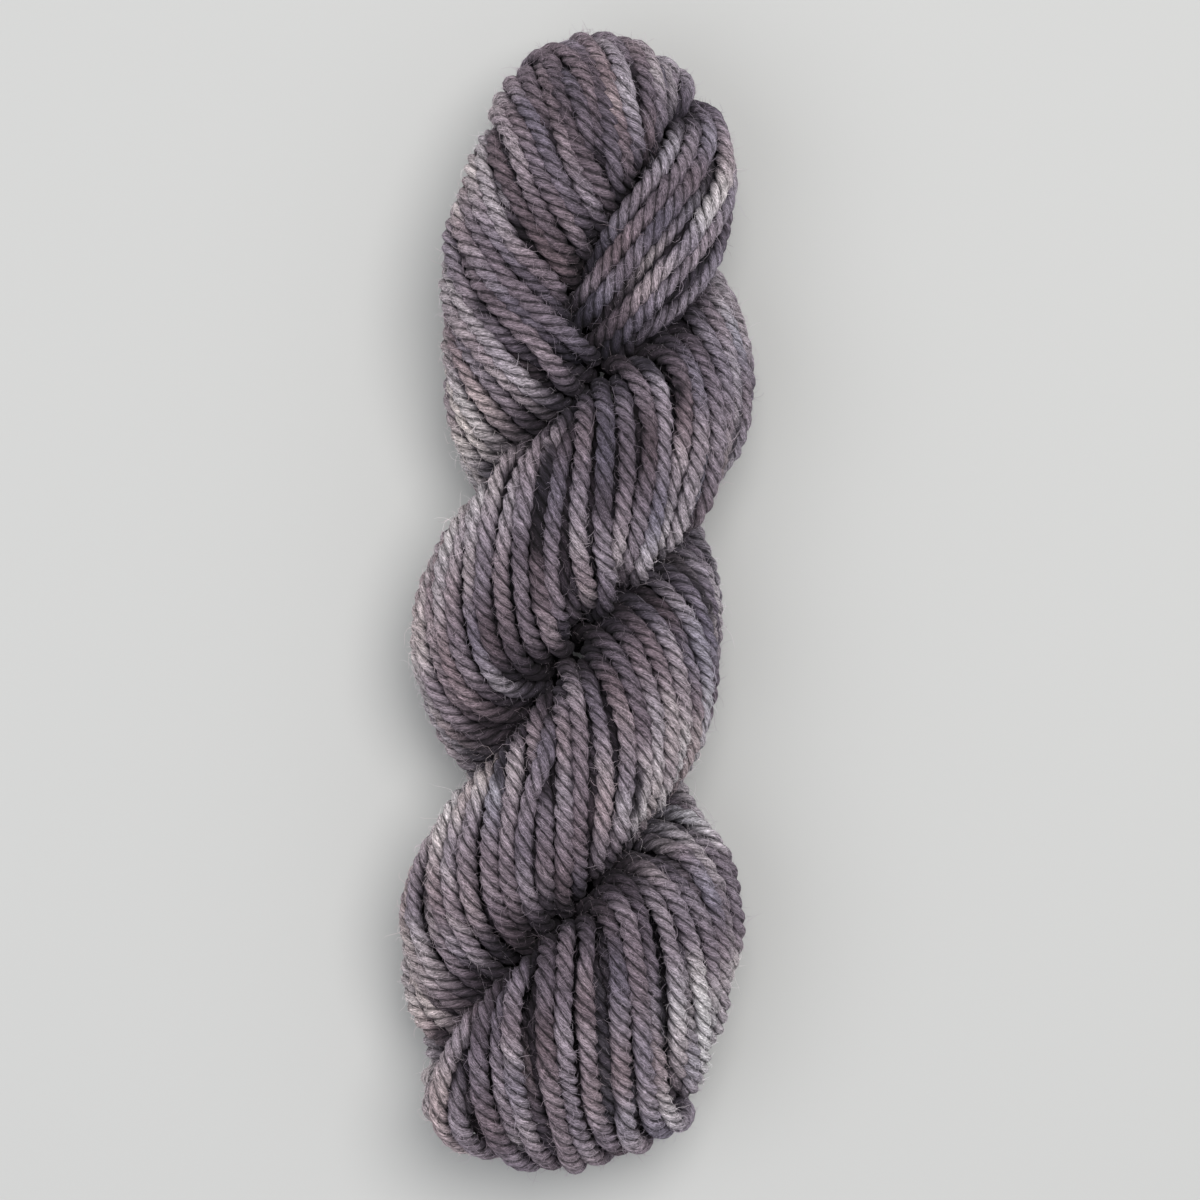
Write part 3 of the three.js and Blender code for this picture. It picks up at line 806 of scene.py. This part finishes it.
def fuzz(name, wanted, segments, length, radius, rise, curl):
    """Loose fibres: closed, three-sided, tapering to a point."""
    weight = (0.40 + roots[:, 12]) * (0.3 + 0.7 * np.clip((roots[:, 2] - 5.0) / 10.0, 0, 1))
    pick = rng.choice(len(roots), int(wanted * 1.6), replace=False, p=weight / weight.sum())
    p, out, along, colour = roots[pick, 0:3], roots[pick, 3:6], roots[pick, 6:9], roots[pick, 9:12]
    clear = np.zeros(len(p), bool)
    for n, (a, b) in enumerate(zip(p.tolist(), out.tolist())):
        a, b = Vector(a), Vector(b)
        hit = tree.ray_cast(a + b * 0.3, b, 5.0)
        clear[n] = hit[0] is None or hit[3] > 1.2
    keep = np.where(clear)[0][:wanted]
    p, out, along, colour = p[keep], out[keep], along[keep], colour[keep]
    n = len(p)
    side = np.cross(out, along)
    L = length[0] + (length[1] - length[0]) * rng.random(n) ** 1.8
    fwd = np.where(rng.random(n) < 0.5, -1.0, 1.0) * (0.3 + 0.7 * rng.random(n))
    d0 = unit(out * (rise + 0.45 * rng.random(n))[:, None] + along * fwd[:, None]
              + side * (0.7 * rng.standard_normal(n))[:, None])
    bend = unit(rng.standard_normal((n, 3))) * (0.55 * L * rng.random(n))[:, None] - out * (0.16 * L)[:, None]
    w1 = unit(np.cross(d0, rng.standard_normal((n, 3))))
    w2 = np.cross(d0, w1)
    ph, turns = rng.uniform(0, 6.28, n), rng.uniform(3.0, 7.0, n)
    t = np.linspace(0, 1, segments + 1)
    wave = ((np.cos(ph[:, None] + turns[:, None] * t) - np.cos(ph)[:, None])[..., None] * w1[:, None, :]
            + (np.sin(ph[:, None] + turns[:, None] * t) - np.sin(ph)[:, None])[..., None] * w2[:, None, :])
    C = (p - out * 0.15)[:, None, :] + (L[:, None] * t[None, :])[..., None] * d0[:, None, :] \
        + (t ** 2)[None, :, None] * bend[:, None, :] + wave * (curl * L)[:, None, None]
    C[..., 2] = np.maximum(C[..., 2], 0.12)
    D = np.gradient(C, axis=1)
    D /= np.linalg.norm(D, axis=2)[..., None] + 1e-9
    ref = unit(np.cross(d0, rng.standard_normal((n, 3))))
    X = ref[:, None, :] - (ref[:, None, :] * D).sum(2)[..., None] * D
    X /= np.linalg.norm(X, axis=2)[..., None] + 1e-9
    Y = np.cross(D, X)
    R = radius * (1 - 0.5 * t[:-1])
    q = 2 * np.pi * np.arange(3) / 3
    rings = C[:, :-1, None, :] + R[None, :, None, None] * (
        np.cos(q)[None, None, :, None] * X[:, :-1, None, :] + np.sin(q)[None, None, :, None] * Y[:, :-1, None, :])
    per = segments * 3 + 1
    v = np.concatenate([rings.reshape(n, segments * 3, 3), C[:, -1:, :]], 1)
    f4, f3 = [], [(2, 1, 0)]
    for s in range(segments - 1):
        for j in range(3):
            a, b = s * 3 + j, s * 3 + (j + 1) % 3
            f4.append((a, b, b + 3, a + 3))
    for j in range(3):
        f3.append(((segments - 1) * 3 + j, (segments - 1) * 3 + (j + 1) % 3, segments * 3))
    off = (np.arange(n) * per)[:, None, None]
    f4 = (np.array(f4)[None] + off).reshape(-1, 4)
    f3 = (np.array(f3)[None] + off).reshape(-1, 3)
    out_pile = Pile()
    vv = v.reshape(-1, 3)
    out_pile.add(vv, f3, f4, np.repeat(colour, per, 0), vv.copy(), np.ones(len(vv)))
    return out_pile.mesh(name, fuzz_mat), out_pile.triangles()


made = [fuzz("fuzz_short", 34000, 1, (0.8, 2.6), 0.047, 0.30, 0.0),
        fuzz("fuzz_curled", 5500, 3, (1.2, 3.6), 0.042, 0.22, 0.12),
        fuzz("fuzz_long", 3300, 4, (2.0, 6.5), 0.036, 0.22, 0.09)]
print("fuzz triangles", [m[1] for m in made], f"{time.time() - START:.1f} s")
pieces += [m[0] for m in made]

for o in pieces:
    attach(o, "root")
    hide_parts("skein")

# ------------------------------------------------- floor, light, camera
bpy.ops.mesh.primitive_plane_add(size=4, location=(0, 0, 0))
floor = bpy.context.object
floor.name = "floor"
fm = bpy.data.materials.new("floor")
fm.use_nodes = True
fb = fm.node_tree.nodes["Principled BSDF"]
fb.inputs["Base Color"].default_value = (0.56, 0.56, 0.55, 1)
fb.inputs["Roughness"].default_value = 0.9
fb.inputs["Specular IOR Level"].default_value = 0.2
floor.data.materials.append(fm)


def area(name, place, target, size, power, colour):
    light = bpy.data.lights.new(name, "AREA")
    light.shape = "DISK"
    light.size = size
    light.energy = power
    light.color = colour
    ob = bpy.data.objects.new(name, light)
    ob.location = place
    ob.rotation_euler = (Vector(target) - Vector(place)).to_track_quat("-Z", "Y").to_euler()
    bpy.context.scene.collection.objects.link(ob)


area("key", (0.22, 0.30, 1.30), (0, 0, 0.02), 0.80, 13.0, (1.0, 0.99, 0.975))
area("fill", (-0.5, -0.2, 1.0), (0, 0, 0.02), 0.9, 3.0, (0.95, 0.97, 1.0))
world = bpy.data.worlds.new("studio")
bpy.context.scene.world = world
world.use_nodes = True
bg = world.node_tree.nodes["Background"]
bg.inputs["Color"].default_value = (0.95, 0.97, 1.0, 1)
bg.inputs["Strength"].default_value = 0.45

cam = bpy.data.cameras.new("camera")
cam.sensor_width = 36
cam.lens = 36 * (1.0 - 0.028) / 0.264
cam.clip_start, cam.clip_end = 0.01, 20
camera = bpy.data.objects.new("camera", cam)
camera.location = (0.0046, 0.0002, 1.0)
camera.rotation_euler = (0, 0, 0)
bpy.context.scene.collection.objects.link(camera)
bpy.context.scene.camera = camera
bpy.context.scene.view_settings.view_transform = "Standard"
bpy.context.scene.view_settings.look = "None"

bpy.context.view_layer.update()
print("scene", f"{time.time() - START:.1f} s")
